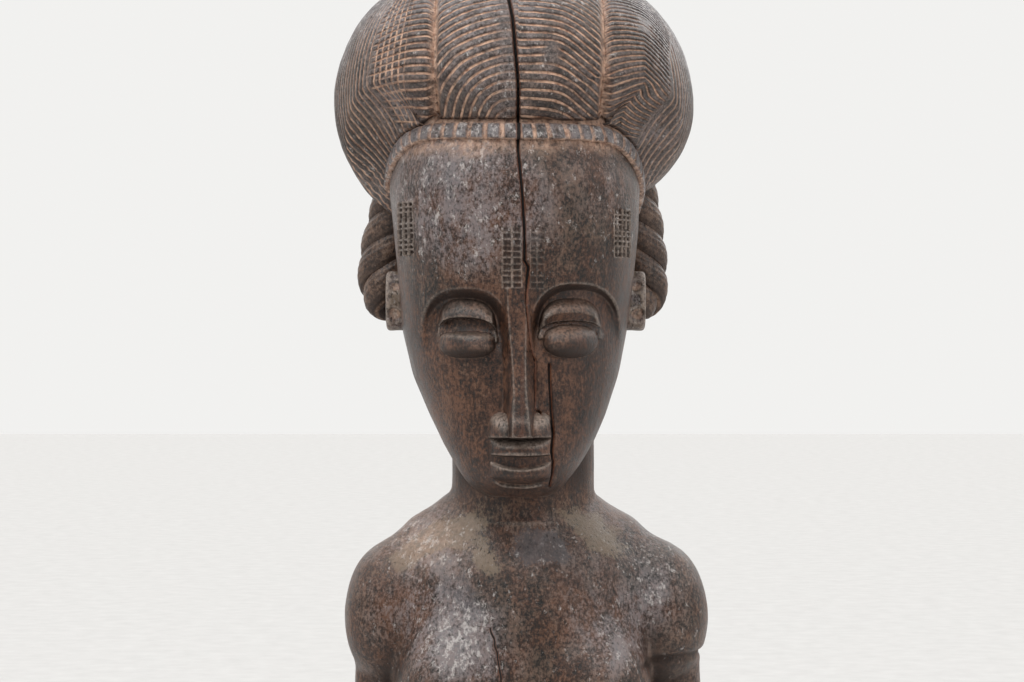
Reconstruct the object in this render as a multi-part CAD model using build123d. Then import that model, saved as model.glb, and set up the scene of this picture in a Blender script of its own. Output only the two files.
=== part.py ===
"""Standing carved wooden figure with a three-roll coiffure, on a round base.

The figure is one log in reality. Each region that the carver blocks out is its own solid here, and
neighbouring regions meet face to face with no gap, so that together they make the whole carving.

Frame: millimetres, +Z up, the figure faces -Y, origin at the middle of the base's underside.
"""

import os

from build123d import *

# ---- driving dimensions -------------------------------------------------------------------------
TOTAL_H = 620.0  # underside of the base to the top of the coiffure
BASE_R, BASE_H, BASE_BEVEL = 63.0, 28.0, 4.0

HEAD_X, BODY_X = -1.4, 2.0  # the hand-carved head and trunk sit a little off the log's middle

FOOT_TOP_Z, KNEE_Z, HIP_Z, WAIST_Z = 46.0, 126.0, 182.0, 246.0  # planes between the leg and trunk parts
WRAP_HEM_Z = 166.0  # lower edge of the carved wrapper
COLLAR_Z = 424.0  # where the neck leaves the shoulders
NECK_R, NECK_Y = 24.9, 4.0
HEAD_BOTTOM_Z = 433.5

SHOULDER_Z = 392.0
ARM_SPLIT_Z = 377.0  # lower edge of the shoulder muscle
ELBOW_Z = 300.0

HAIR_Y, HAIR_Z = 14.0, 572.0  # middle of the coiffure
HAIR_DEPTH_R = 64.0
PART_X = 29.0  # half the width of the middle roll, which is where the partings run
HAIR_SLOPE = 0.77  # fall of the hairline per millimetre of depth, front to back
HAIRLINE_Y, HAIRLINE_Z = -46.0, 560.0
BAND_W, BAND_T = 6.0, 2.2

EAR_Z, EAR_H, EAR_L, EAR_Y = 501.5, 21.0, 15.0, 3.0
PLAIT_TOP_Z, PLAIT_PITCH, PLAIT_TURNS = 536.0, 11.2, 4
BIG = 800.0  # larger than the figure, for half spaces


# ---- helpers ------------------------------------------------------------------------------------
def ellipsoid(middle, radii, turn=(0, 0, 0)):
    """A solid ellipsoid, turned by Euler angles in degrees and then put in place."""
    return Pos(*middle) * Rot(*turn) * scale(Sphere(1.0), by=radii)


def stack(sections):
    """A smooth solid through flat ellipses, each given as (z, middle x, middle y, radius x, radius y)."""
    return loft([Pos(x, y, z) * Ellipse(rx, ry) for z, x, y, rx, ry in sections])


def limb(joints):
    """A round limb through (x, y, z, radius) points: tapered spans with a slightly proud ball at each joint."""
    balls = [Pos(x, y, z) * Sphere(r + 0.3) for x, y, z, r in joints]
    spans = []
    for (x0, y0, z0, r0), (x1, y1, z1, r1) in zip(joints, joints[1:]):
        along = Vector(x1 - x0, y1 - y0, z1 - z0)
        span = Plane(origin=(x0, y0, z0), z_dir=along)
        spans.append(loft([span * Circle(r0), span.offset(along.length) * Circle(r1)]))
    solid = balls[0]
    for piece in balls[1:] + spans:
        solid = solid + piece
    return solid


def above(z):
    return Pos(0, 0, z + BIG / 2) * Box(BIG, BIG, BIG)


def below(z):
    return Pos(0, 0, z - BIG / 2) * Box(BIG, BIG, BIG)


def sided(side, x):
    """The half space beyond x on that side: -1 for the figure's right, +1 for its left."""
    return Pos(side * (x + BIG / 2), 0, 0) * Box(BIG, BIG, 2 * BIG)


def solid_of(shape):
    """The largest solid of a boolean's result, so that no sliver is kept."""
    return max(shape.solids(), key=lambda s: s.volume)


# ---- base and legs ------------------------------------------------------------------------------
def base():
    disc = Pos(0, 0, BASE_H / 2) * Cylinder(BASE_R, BASE_H)
    return chamfer(disc.edges().group_by(Axis.Z)[-1], BASE_BEVEL)


def foot(side):
    """A block foot with a rounded toe end and a heel, flat on the base."""
    x, length, width = side * 25.0, 56.0, 27.0
    sole = Pos(x, -8.0, 0) * Ellipse(width / 2, length / 2)
    instep = Pos(x, 2.0, 0) * Ellipse(width / 2 - 2.0, length / 2 - 9.0)
    ankle = Pos(x, 7.0, 0) * Circle(11.5)
    return loft([Pos(0, 0, BASE_H) * sole, Pos(0, 0, BASE_H + 9.0) * instep, Pos(0, 0, FOOT_TOP_Z) * ankle])


def calf(side):
    x = side * 25.0
    return stack([
        (FOOT_TOP_Z, x, 7.0, 11.5, 11.5),
        (66.0, x, 8.0, 14.0, 14.5),
        (92.0, x + side, 9.5, 19.0, 20.5),
        (112.0, x, 1.0, 18.0, 19.5),
        (KNEE_Z, x, -6.0, 17.0, 17.5),
    ])


def thigh(side):
    """From the knee up into the wrapper, leaning back so that the knee is the foremost point."""
    x = side * 25.0
    whole = stack([
        (KNEE_Z, x, -6.0, 17.0, 17.5),
        (146.0, x, -1.5, 20.0, 20.5),
        (HIP_Z, x - side * 2.0, 4.0, 21.5, 24.0),
    ])
    return solid_of(whole & sided(side, 0.6))


def wrapper():
    """The cloth wrapper carved round the hips. Its skirt hangs over the tops of the thighs."""
    whole = stack([
        (WRAP_HEM_Z, 0.0, 3.0, 50.0, 34.0),
        (190.0, 0.5, 5.0, 51.0, 38.0),
        (214.0, 1.0, 6.0, 48.0, 36.5),
        (232.0, 1.5, 4.0, 41.0, 31.5),
        (WAIST_Z, 1.8, 2.5, 36.0, 28.0),
    ])
    for side in (-1, 1):
        whole = whole - thigh(side)
    return solid_of(whole)


# ---- trunk and arms -----------------------------------------------------------------------------
def torso():
    """Waist to collar. The flat chest widens upward and its top slopes to the neck as the shoulders."""
    x = BODY_X
    trunk = stack([
        (WAIST_Z, 1.8, 2.5, 36.0, 28.0),
        (285.0, x, -1.0, 35.5, 30.0),
        (325.0, x, 0.5, 38.0, 28.5),
        (362.0, x, 0.0, 44.0, 32.0),
        (392.0, x, 1.0, 51.0, 32.5),
        (410.0, x, 3.0, 49.0, 29.0),
        (COLLAR_Z, x, NECK_Y, 36.0, 26.0),
    ])
    return trunk


def shoulder(side, body):
    """The round shoulder muscle, cut flat where the upper arm starts."""
    x = BODY_X + side * 47.0
    muscle = ellipsoid((x, 2.0, SHOULDER_Z), (16.8, 20.0, 25.0), (0, side * 12.0, 0))
    slope = limb([
        (BODY_X + side * 22.0, 4.0, 424.5, 9.0),
        (BODY_X + side * 45.5, 3.0, 405.5, 14.5),
    ])
    whole = (muscle + slope) & above(ARM_SPLIT_Z)
    return solid_of(whole - body - neck())


def upper_arm(side, body):
    whole = limb([
        (BODY_X + side * 52.0, 3.0, ARM_SPLIT_Z + 4.0, 10.2),
        (BODY_X + side * 54.0, 7.0, 340.0, 9.8),
        (BODY_X + side * 53.0, 11.0, ELBOW_Z, 9.6),
    ])
    return solid_of((whole & below(ARM_SPLIT_Z)) - body)


def forearm(side, body, arm):
    """One tapered span from the elbow's ball forward to the wrist, where it runs into the hand."""
    elbow = Vector(BODY_X + side * 53.0, 11.0, ELBOW_Z)
    wrist = Vector(BODY_X + side * 31.0, -32.0, 289.0)
    along = Plane(origin=elbow, z_dir=wrist - elbow)
    length = (wrist - elbow).length
    return solid_of(loft([along * Circle(9.4), along.offset(length) * Circle(7.4)]) - body - arm)


def hand(side, body, arm):
    """A flat mitten hand with its thumb, laid on the belly."""
    palm = ellipsoid((BODY_X + side * 21.0, -32.5, 287.5), (15.0, 6.0, 10.5), (0, side * 8.0, side * 24.0))
    thumb = ellipsoid((BODY_X + side * 22.0, -32.0, 298.0), (8.0, 4.4, 3.6), (0, side * 30.0, side * 22.0))
    return solid_of((palm + thumb) - body - arm)


def breast(side, body):
    """A low cone on the chest."""
    mound = ellipsoid((BODY_X + side * 26.0, -22.0, 366.0), (18.5, 19.0, 25.0), (14, 0, side * 18.0))
    return solid_of(mound - body)


def navel(body):
    """The raised navel knot."""
    knot = ellipsoid((BODY_X, -31.0, 275.0), (5.0, 5.5, 5.5))
    return solid_of(knot - body)


def neck():
    return Pos(BODY_X - 0.6, NECK_Y, (COLLAR_Z + 470.0) / 2) * Cylinder(NECK_R, 470.0 - COLLAR_Z)


# ---- head ---------------------------------------------------------------------------------------
# Each section is (z, half width, foremost y, rearmost y).
HEAD_SECTIONS = [
    (HEAD_BOTTOM_Z, 9.0, -44.0, -20.0),
    (439.0, 16.5, -47.5, -12.0),
    (447.0, 23.0, -49.0, 2.0),
    (460.0, 29.8, -49.0, 22.0),
    (475.0, 35.3, -48.0, 36.0),
    (493.0, 39.0, -47.5, 44.0),
    (518.0, 41.4, -51.0, 48.0),
    (540.0, 43.3, -51.5, 50.0),
    (556.0, 41.0, -47.0, 49.0),
    (576.0, 34.0, -35.0, 42.0),
    (592.0, 18.0, -16.0, 28.0),
]


def egg(swell=0.0):
    """The plain head with every section grown by swell."""
    return stack([
        (z, HEAD_X, (front + back) / 2, w + swell, (back - front) / 2 + swell)
        for z, w, front, back in HEAD_SECTIONS
    ])


def head():
    """The egg with its nose, brow hollows, lidded eyes and mouth."""
    whole = egg()
    nose = loft([
        Pos(HEAD_X + 1.0, -47.0, 504.0) * Rectangle(8.0, 7.0),
        Pos(HEAD_X + 1.5, -48.5, 453.5) * Rectangle(12.0, 20.0),
    ])
    wings = Pos(HEAD_X + 1.5, -49.5, 457.0) * Box(20.5, 10.0, 7.0)
    for side in (-1, 1):
        socket = ellipsoid((HEAD_X + side * 18.0, -49.5, 491.0), (17.0, 6.5, 15.0))
        whole = whole - socket
        eye = ellipsoid((HEAD_X + side * 18.0, -39.5, 486.5), (10.0, 6.0, 6.0))
        lid = ellipsoid((HEAD_X + side * 18.0, -39.5, 495.5), (11.0, 6.0, 3.6))
        whole = whole + eye + lid
    whole = whole + nose + wings
    upper_lip = ellipsoid((HEAD_X + 1.5, -47.0, 449.0), (11.0, 5.0, 3.2))
    lower_lip = ellipsoid((HEAD_X + 1.5, -46.5, 441.0), (10.5, 5.0, 3.0))
    return solid_of((whole + upper_lip + lower_lip) - neck())


def ear(side, skull):
    """A half-round ear with a scooped face, standing out from the side of the head."""
    outer = side * (44.6 + (1.6 if side < 0 else 0.0))
    inner = side * 30.0
    with BuildPart() as made:
        with BuildSketch(Plane.YZ.offset(inner)):
            with Locations((EAR_Y, EAR_Z)):
                Ellipse(EAR_L / 2, EAR_H / 2)
        extrude(amount=outer - inner)
        with BuildSketch(Plane.YZ.offset(outer)):
            with Locations((EAR_Y + 0.6, EAR_Z)):
                Ellipse(EAR_L / 2 - 3.2, EAR_H / 2 - 3.6)
        extrude(amount=-side * 3.0, mode=Mode.SUBTRACT)
    return solid_of(made.part - skull)


# ---- coiffure -----------------------------------------------------------------------------------
def hairline_plane(rise=0.0):
    """The sloping plane that the hairline follows, from the forehead's top down to the nape."""
    return Plane(origin=(0, HAIRLINE_Y, HAIRLINE_Z + rise), z_dir=(0, HAIR_SLOPE, 1.0))


def over_hairline(rise=0.0):
    return hairline_plane(rise).location * Pos(0, 0, BIG / 2) * Box(BIG, BIG, BIG)


def band(skull):
    """The notched band along the hairline, ear to ear over the forehead."""
    slab = hairline_plane().location * Pos(0, 0, -BAND_W / 2) * Box(BIG, BIG, BAND_W)
    front_of_ears = Pos(0, EAR_Y - BIG / 2, 0) * Box(BIG, BIG, 2 * BIG)
    return solid_of((egg(BAND_T) & slab & front_of_ears) - skull)


def side_roll(side, skull, strip):
    """A roll beyond a parting. The figure's left roll (on +X) is the longer by a little."""
    middle, radius = (-20.3, 44.8) if side < 0 else (15.2, 46.4)
    roll = ellipsoid((middle, HAIR_Y, HAIR_Z), (radius, HAIR_DEPTH_R, 45.5))
    return solid_of((roll & sided(side, PART_X) & over_hairline()) - skull - strip)


def middle_roll(skull, strip):
    height = TOTAL_H - HAIR_Z
    roll = ellipsoid((0, HAIR_Y, HAIR_Z), (62.0, HAIR_DEPTH_R + 2.0, height))
    strip_zone = Box(2 * PART_X, BIG, 2 * BIG)
    return solid_of((roll & strip_zone & over_hairline()) - skull - strip)


def nape_hair(skull, rolls):
    """The low cap of hair between the plaits, under the rolls at the back."""
    cap = ellipsoid((HEAD_X, 22.0, 515.0), (37.0, 38.0, 27.0))
    behind_ears = Pos(0, EAR_Y + EAR_L / 2 + 1.0 + BIG / 2, 0) * Box(BIG, BIG, 2 * BIG)
    cap = (cap & behind_ears) - skull - neck()
    for roll in rolls:
        cap = cap - roll
    return solid_of(cap)


def plait(side, blockers):
    """A thick twisted lock behind the ear: tilted lobes, each a turn of the twist, drifting outward."""
    whole = None
    for turn in range(PLAIT_TURNS):
        out = 43.0 + 1.4 * min(turn, 2) - (0.5 if side > 0 else 0.0)
        z = PLAIT_TOP_Z - PLAIT_PITCH * (turn + 0.5)
        lobe = ellipsoid((side * out, 23.0, z), (12.5, 12.5, 8.2), (0, side * 28.0, 37.0))
        whole = lobe if whole is None else whole + lobe
    for blocker in blockers:
        whole = whole - blocker
    return solid_of(whole)


# ---- assembly -----------------------------------------------------------------------------------
def make_parts():
    parts = {"base": base(), "hip_wrapper": wrapper(), "torso": torso(), "neck": neck()}
    body, skull = parts["torso"], head()
    parts["head"] = skull
    parts["navel"] = navel(body)
    strip = parts["hairline_band"] = band(skull)
    parts["hair_roll_middle"] = middle_roll(skull, strip)
    for name, side in (("right", -1), ("left", 1)):
        parts[f"foot_{name}"] = foot(side)
        parts[f"calf_{name}"] = calf(side)
        parts[f"thigh_{name}"] = thigh(side)
        parts[f"shoulder_{name}"] = shoulder(side, body)
        arm = parts[f"upper_arm_{name}"] = upper_arm(side, body)
        fore = parts[f"forearm_{name}"] = forearm(side, body, arm)
        parts[f"hand_{name}"] = hand(side, body, fore)
        parts[f"breast_{name}"] = breast(side, body)
        parts[f"ear_{name}"] = ear(side, skull)
        parts[f"hair_roll_{name}"] = side_roll(side, skull, strip)
    rolls = [parts[f"hair_roll_{name}"] for name in ("middle", "right", "left")]
    cap = parts["nape_hair"] = nape_hair(skull, rolls)
    for name, side in (("right", -1), ("left", 1)):
        near = [cap, skull, parts[f"hair_roll_{name}"], parts[f"ear_{name}"]]
        parts[f"plait_{name}"] = plait(side, near)
    return parts


os.makedirs("parts", exist_ok=True)
for part_name, part_solid in make_parts().items():
    export_step(part_solid, f"parts/{part_name}.step")
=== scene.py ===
"""The looks of a standing carved wooden figure: its skin, coiffure, plaits, wrapper, legs and base.

Shapes are worked out in millimetres and written to Blender in metres. +Z is up and the figure faces -Y.
"""

import math

import bpy
import numpy as np
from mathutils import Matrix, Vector


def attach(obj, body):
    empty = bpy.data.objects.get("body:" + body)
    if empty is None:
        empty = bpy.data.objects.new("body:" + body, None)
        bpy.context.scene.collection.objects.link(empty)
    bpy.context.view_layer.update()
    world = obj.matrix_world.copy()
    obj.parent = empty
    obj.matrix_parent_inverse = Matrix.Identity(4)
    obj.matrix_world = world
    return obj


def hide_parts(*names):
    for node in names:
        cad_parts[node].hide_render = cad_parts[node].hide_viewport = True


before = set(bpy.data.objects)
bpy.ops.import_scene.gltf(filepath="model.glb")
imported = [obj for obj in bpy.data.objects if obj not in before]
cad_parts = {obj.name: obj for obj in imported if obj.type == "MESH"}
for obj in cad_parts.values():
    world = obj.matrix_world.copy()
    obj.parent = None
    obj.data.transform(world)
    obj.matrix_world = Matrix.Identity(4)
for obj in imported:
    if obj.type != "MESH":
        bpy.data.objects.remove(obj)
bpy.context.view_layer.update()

COARSE = 1.0

# ---- shared sizes, in millimetres ----
NECK_X, NECK_Y, NECK_R = 1.4, 4.0, 24.9
HAIR_Y = 14.0  # middle of the coiffure, front to back
PART_X = 29.0  # how far from the middle the two partings run
VIEW_X, EYE_LEVEL = -2.45, 487.35  # the camera's place
DRAW_IN = 0.949  # the face is laid out at its outline's scale, then drawn in towards the camera's place
TRUNK_X, LEG_X = 2.0, 25.0  # the trunk's middle, and how far each leg is from the axis
FAR = 9.0  # a distance that stands for no crack nearby

# Cracks, as (height, sideways place). On the head these are places in the face's own layout.
MAIN_CRACK = [
    (461.0, 9.0), (463.4, 6.0), (480.0, 5.6), (491.9, 3.5), (502.2, 2.6), (513.2, 3.1), (515.4, 1.8),
    (528.3, 1.9), (537.0, 1.3), (545.8, 0.35), (554.5, -0.25), (560.6, -0.4), (571.9, -0.35), (580.6, -0.9),
    (595.5, -2.2), (603.2, -3.5), (612.0, -5.5),
]
CHEEK_CRACK = [
    (435.5, 10.8), (440.2, 11.8), (445.0, 12.2), (448.3, 11.8), (454.9, 12.0), (463.2, 11.2), (479.6, 10.5)
]


# ---- numbers and noise ----
def smooth(low, high, x):
    """0 up to low and 1 from high on, with an easy slope between; low may be the greater."""
    t = np.clip((x - low) / (high - low), 0.0, 1.0)
    return t * t * (3.0 - 2.0 * t)


def bell(x, middle, reach):
    """A smooth hump of height 1 at the middle."""
    return np.exp(-(((x - middle) / reach) ** 2))


def route(points, at):
    """Straight-line values between (position, value) points."""
    return np.interp(at, *np.transpose(points))


def curve(points, blur):
    """A function through (position, value) points, its corners rounded over about blur millimetres."""
    step = 0.25
    dense = np.arange(points[0][0] - 4 * blur, points[-1][0] + 4 * blur, step)
    table = route(points, dense)
    reach = int(3 * blur / step)
    weights = np.exp(-0.5 * (np.arange(-reach, reach + 1) * step / blur) ** 2)
    padded = np.concatenate([np.full(reach, table[0]), table, np.full(reach, table[-1])])
    table = np.convolve(padded, weights / weights.sum(), mode="valid")
    return lambda z: np.interp(z, dense, table)


def unit(vectors):
    return vectors / np.maximum(np.linalg.norm(vectors, axis=-1, keepdims=True), 1e-9)


class Noise:
    """Smooth value noise between -1 and 1, the same on every run."""

    def __init__(self, seed):
        self.lattice = np.random.RandomState(seed).uniform(-1, 1, (32, 32, 32)).astype(np.float32)

    def __call__(self, points, size):
        """The noise at each point, with grains of a size in millimetres, or an (x, y, z) size."""
        p = np.asarray(points, np.float32) / np.asarray(size, np.float32) + 1000.0
        cell = np.floor(p).astype(int)
        f = p - cell
        f = f * f * (3 - 2 * f)
        total = 0.0
        for corner in range(8):
            pick = np.array([corner & 1, corner >> 1 & 1, corner >> 2 & 1])
            weight = np.prod(np.where(pick, f, 1 - f), axis=-1)
            i = (cell + pick) % 32
            total = total + weight * self.lattice[i[..., 0], i[..., 1], i[..., 2]]
        return total


chips, waves = Noise(3), Noise(11)


# ---- signed distances ----
def join(a, b, k):
    """The union of two solids, blended over about k millimetres."""
    h = np.clip(0.5 + 0.5 * (b - a) / k, 0.0, 1.0)
    return b + (a - b) * h - k * h * (1.0 - h)


def ellipsoid(x, y, z, middle, radii, turn=0.0, tilt=0.0):
    """Turn is about the upright axis and tilt about the left-right axis, in degrees."""
    dx, dy, dz = x - middle[0], y - middle[1], z - middle[2]
    if turn:
        c, s = math.cos(math.radians(turn)), math.sin(math.radians(turn))
        dx, dy = c * dx + s * dy, c * dy - s * dx
    if tilt:
        c, s = math.cos(math.radians(tilt)), math.sin(math.radians(tilt))
        dy, dz = c * dy + s * dz, c * dz - s * dy
    near = np.sqrt((dx / radii[0]) ** 2 + (dy / radii[1]) ** 2 + (dz / radii[2]) ** 2)
    slope = np.sqrt((dx / radii[0] ** 2) ** 2 + (dy / radii[1] ** 2) ** 2 + (dz / radii[2] ** 2) ** 2)
    return near * (near - 1.0) / np.maximum(slope, 1e-6)


def limb(x, y, z, joints):
    """A round limb through (x, y, z, radius) joints."""
    best = None
    for (x0, y0, z0, r0), (x1, y1, z1, r1) in zip(joints, joints[1:]):
        ax, ay, az = x1 - x0, y1 - y0, z1 - z0
        t = ((x - x0) * ax + (y - y0) * ay + (z - z0) * az) / (ax * ax + ay * ay + az * az)
        t = np.clip(t, 0.0, 1.0)
        gap = np.sqrt((x - x0 - t * ax) ** 2 + (y - y0 - t * ay) ** 2 + (z - z0 - t * az) ** 2)
        gap = gap - r0 - t * (r1 - r0)
        best = gap if best is None else join(best, gap, 3.0)
    return best


class Sections:
    """A solid whose level sections are squared ellipses, from rows of (z, left, right, front, back)."""

    def __init__(self, rows, blur, power=2.3):
        self.left, self.right, self.front, self.back = (
            curve([(row[0], row[i]) for row in rows], blur) for i in (1, 2, 3, 4)
        )
        self.power = power

    def shape(self, z):
        """The middle (x, y) and the half width and half depth of the section at a height."""
        left, right, front, back = self.left(z), self.right(z), self.front(z), self.back(z)
        return (left + right) / 2, (front + back) / 2, (right - left) / 2, (back - front) / 2

    def distance(self, x, y, z):
        mx, my, rx, ry = self.shape(z)
        p = self.power
        size = (np.abs((x - mx) / rx) ** p + np.abs((y - my) / ry) ** p) ** (1 / p)
        return np.hypot(x - mx, y - my) * (1.0 - 1.0 / np.maximum(size, 1e-3))

    def point(self, angle, z):
        """The surface point at an angle in degrees, 0 at the front and 90 at +X."""
        mx, my, rx, ry = self.shape(z)
        s, c = np.sin(np.radians(angle)), np.cos(np.radians(angle))
        e = 2 / self.power
        return mx + rx * np.sign(s) * np.abs(s) ** e, my - ry * np.sign(c) * np.abs(c) ** e


# ---- meshing ----
def skin_net(field, xs, ys, zs):
    """The surface where field is zero on a grid, as points and four-sided faces."""
    f = np.asarray(field(xs[:, None, None], ys[None, :, None], zs[None, None, :]), np.float32)
    f = np.broadcast_to(f, (len(xs), len(ys), len(zs)))
    inside = f < 0
    count = np.zeros([n - 1 for n in f.shape], np.uint8)
    corners = [(i, j, k) for i in (0, 1) for j in (0, 1) for k in (0, 1)]
    for i, j, k in corners:
        count += inside[i : len(xs) - 1 + i, j : len(ys) - 1 + j, k : len(zs) - 1 + k]
    cells = np.nonzero((count > 0) & (count < 8))
    number = np.full(count.shape, -1, np.int64)
    number[cells] = np.arange(len(cells[0]))
    place, hits = np.zeros((len(cells[0]), 3)), np.zeros(len(cells[0]))
    value = {c: f[cells[0] + c[0], cells[1] + c[1], cells[2] + c[2]] for c in corners}
    spot = {c: np.stack([a[i + o] for a, i, o in zip((xs, ys, zs), cells, c)], 1) for c in corners}
    for low in corners:
        for axis in range(3):
            if low[axis]:
                continue
            high = tuple(1 if a == axis else low[a] for a in range(3))
            a, b = value[low], value[high]
            crossing = (a < 0) != (b < 0)
            t = np.where(crossing, a / np.where(crossing, a - b, 1.0), 0.0)[:, None]
            place += np.where(crossing[:, None], spot[low] * (1 - t) + spot[high] * t, 0.0)
            hits += crossing
    faces = []
    for axis in range(3):
        b, c = (axis + 1) % 3, (axis + 2) % 3
        here, there = [slice(1, -1)] * 3, [slice(1, -1)] * 3
        here[axis], there[axis] = slice(0, -1), slice(1, None)
        i0, i1 = inside[tuple(here)], inside[tuple(there)]
        edge = np.nonzero(i0 != i1)
        leaving = i0[edge]
        index = [e + 1 for e in edge]
        index[axis] = edge[axis]
        ring = []
        for ob, oc in ((-1, -1), (0, -1), (0, 0), (-1, 0)):
            at = list(index)
            at[b], at[c] = at[b] + ob, at[c] + oc
            ring.append(number[tuple(at)])
        quad = np.stack(ring, 1)
        faces.append(np.where(leaving[:, None], quad, quad[:, ::-1]))
    return place / hits[:, None], np.concatenate(faces)


def slope_of(field, p, step=0.05):
    """The field's value, outward direction and steepness at each point."""
    here = field(p[:, 0], p[:, 1], p[:, 2])
    grad = np.empty_like(p)
    for axis in range(3):
        q = p.copy()
        q[:, axis] += step
        grad[:, axis] = (field(q[:, 0], q[:, 1], q[:, 2]) - here) / step
    size = np.maximum(np.linalg.norm(grad, axis=1), 0.2)
    return here, grad / size[:, None], size


def settle(field, p, rounds=3, cap=0.6):
    """Moves points onto the field's zero surface and returns them with their outward directions."""
    for _ in range(rounds):
        here, out, size = slope_of(field, p)
        p = p - out * np.clip(here / size, -cap, cap)[:, None]
    _, out, _ = slope_of(field, p)
    return p, out


def hollowness(field, p, out, reach):
    """How shut in each point is within reach, from 0 in the open to 1 in a deep recess; it drives the
    painted shade.
    """
    q = p + out * reach
    return np.clip(1.0 - field(q[:, 0], q[:, 1], q[:, 2]) / reach, 0.0, 1.0)


NO_TRIS = np.zeros((0, 3), int)


def edges_of(quads):
    return np.concatenate([quads[:, [i, (i + 1) % 4]] for i in range(4)])


def sharpness(p, quads, out, rounds=4):
    """Height of each point above its neighbours' average: positive on edges, negative in grooves."""
    a, b = edges_of(quads).T
    n, q = len(p), p.copy()
    share = np.maximum(np.bincount(a, minlength=n) + np.bincount(b, minlength=n), 1)
    for _ in range(rounds):
        sums = [np.bincount(a, q[b, i], n) + np.bincount(b, q[a, i], n) for i in range(3)]
        q = np.stack(sums, 1) / share[:, None]
    return np.sum((p - q) * out, axis=1)


def carve(field, xs, ys, zs):
    """A field's surface: its points, faces, outward directions and sharpness."""
    p, quads = skin_net(field, xs, ys, zs)
    p, out = settle(field, p)
    return p, quads, out, sharpness(p, quads, out)


def cap_open(p, quads, marks, towards):
    """Closes a net that runs off its grid by drawing its open edges to one point."""
    ends = edges_of(quads)
    key = np.sort(ends, 1)
    _, first, uses = np.unique(key[:, 0] * len(p) + key[:, 1], return_index=True, return_counts=True)
    rim = ends[first[uses == 1]]
    tris = np.stack([rim[:, 1], rim[:, 0], np.full(len(rim), len(p))], 1)
    return np.vstack([p, towards]), quads, tris, {k: np.append(v, v[-1]) for k, v in marks.items()}


def ring_grid(rows, columns):
    """Faces between the rows of a grid of points whose columns close into a ring."""
    i, j = np.meshgrid(np.arange(rows - 1), np.arange(columns), indexing="ij")
    k = (j + 1) % columns
    a, b = i * columns + j, i * columns + k
    return np.stack([a.ravel(), b.ravel(), (b + columns).ravel(), (a + columns).ravel()], 1)


def spread(marks, shape):
    """Marks given for the rows, the columns or the whole of a grid, drawn out to every point."""
    return {name: np.broadcast_to(value, shape) for name, value in marks.items()}


def tube(p, marks, flip=False, centres=None):
    """A grid whose columns close into a ring, with a fan of faces over each end."""
    rows, columns = p.shape[:2]
    centres = (p[0].mean(0), p[-1].mean(0)) if centres is None else centres
    j = np.arange(columns)
    k, end, first = (j + 1) % columns, (rows - 1) * columns, np.full(columns, rows * columns)
    fans = np.concatenate([np.stack([k, j, first], 1), np.stack([end + j, end + k, first + 1], 1)])
    quads = ring_grid(rows, columns)
    if flip:
        quads, fans = quads[:, ::-1], fans[:, ::-1]
    marks = spread(marks, (rows, columns))
    marks = {name: np.append(value.ravel(), value[[0, -1], 0]) for name, value in marks.items()}
    return np.vstack([p.reshape(-1, 3), centres]), quads, fans, marks


def grid_out(p):
    """Unit directions square to a grid of points whose columns close into a ring."""
    return unit(np.cross(np.roll(p, -1, 1) - np.roll(p, 1, 1), np.gradient(p, axis=0)))


def build(name, p, quads, tris, marks, material, nodes, slot="carved_wood"):
    """One Blender piece from points in millimetres, faces, per-point marks and a material."""
    p = p.reshape(-1, 3)
    mesh = bpy.data.meshes.new(name)
    mesh.vertices.add(len(p))
    mesh.vertices.foreach_set("co", (p * 0.001).astype(np.float32).ravel())
    loops = np.concatenate([quads.ravel(), tris.ravel()]).astype(np.int32)
    starts = np.concatenate([np.arange(len(quads)) * 4, len(quads) * 4 + np.arange(len(tris)) * 3])
    mesh.loops.add(len(loops))
    mesh.loops.foreach_set("vertex_index", loops)
    mesh.polygons.add(len(starts))
    mesh.polygons.foreach_set("loop_start", starts.astype(np.int32))
    mesh.polygons.foreach_set("use_smooth", np.ones(len(starts), bool))
    mesh.update(calc_edges=True)
    mesh.validate()
    for mark, value in {"crack": FAR, **marks}.items():
        layer = mesh.attributes.new(mark, "FLOAT", "POINT")
        layer.data.foreach_set("value", np.broadcast_to(np.ravel(value), len(p)).astype(np.float32))
    mesh.materials.append(material)
    piece = bpy.data.objects.new(name, mesh)
    bpy.context.scene.collection.objects.link(piece)
    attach(piece, "root")
    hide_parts(*nodes)


# ---- materials ----
def linear(*screen):
    """A colour given as it looks on a screen, from 0 to 255, as light."""
    parts = [c / 255 for c in screen]
    return (*[c / 12.92 if c <= 0.04045 else ((c + 0.055) / 1.055) ** 2.4 for c in parts], 1.0)


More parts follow.
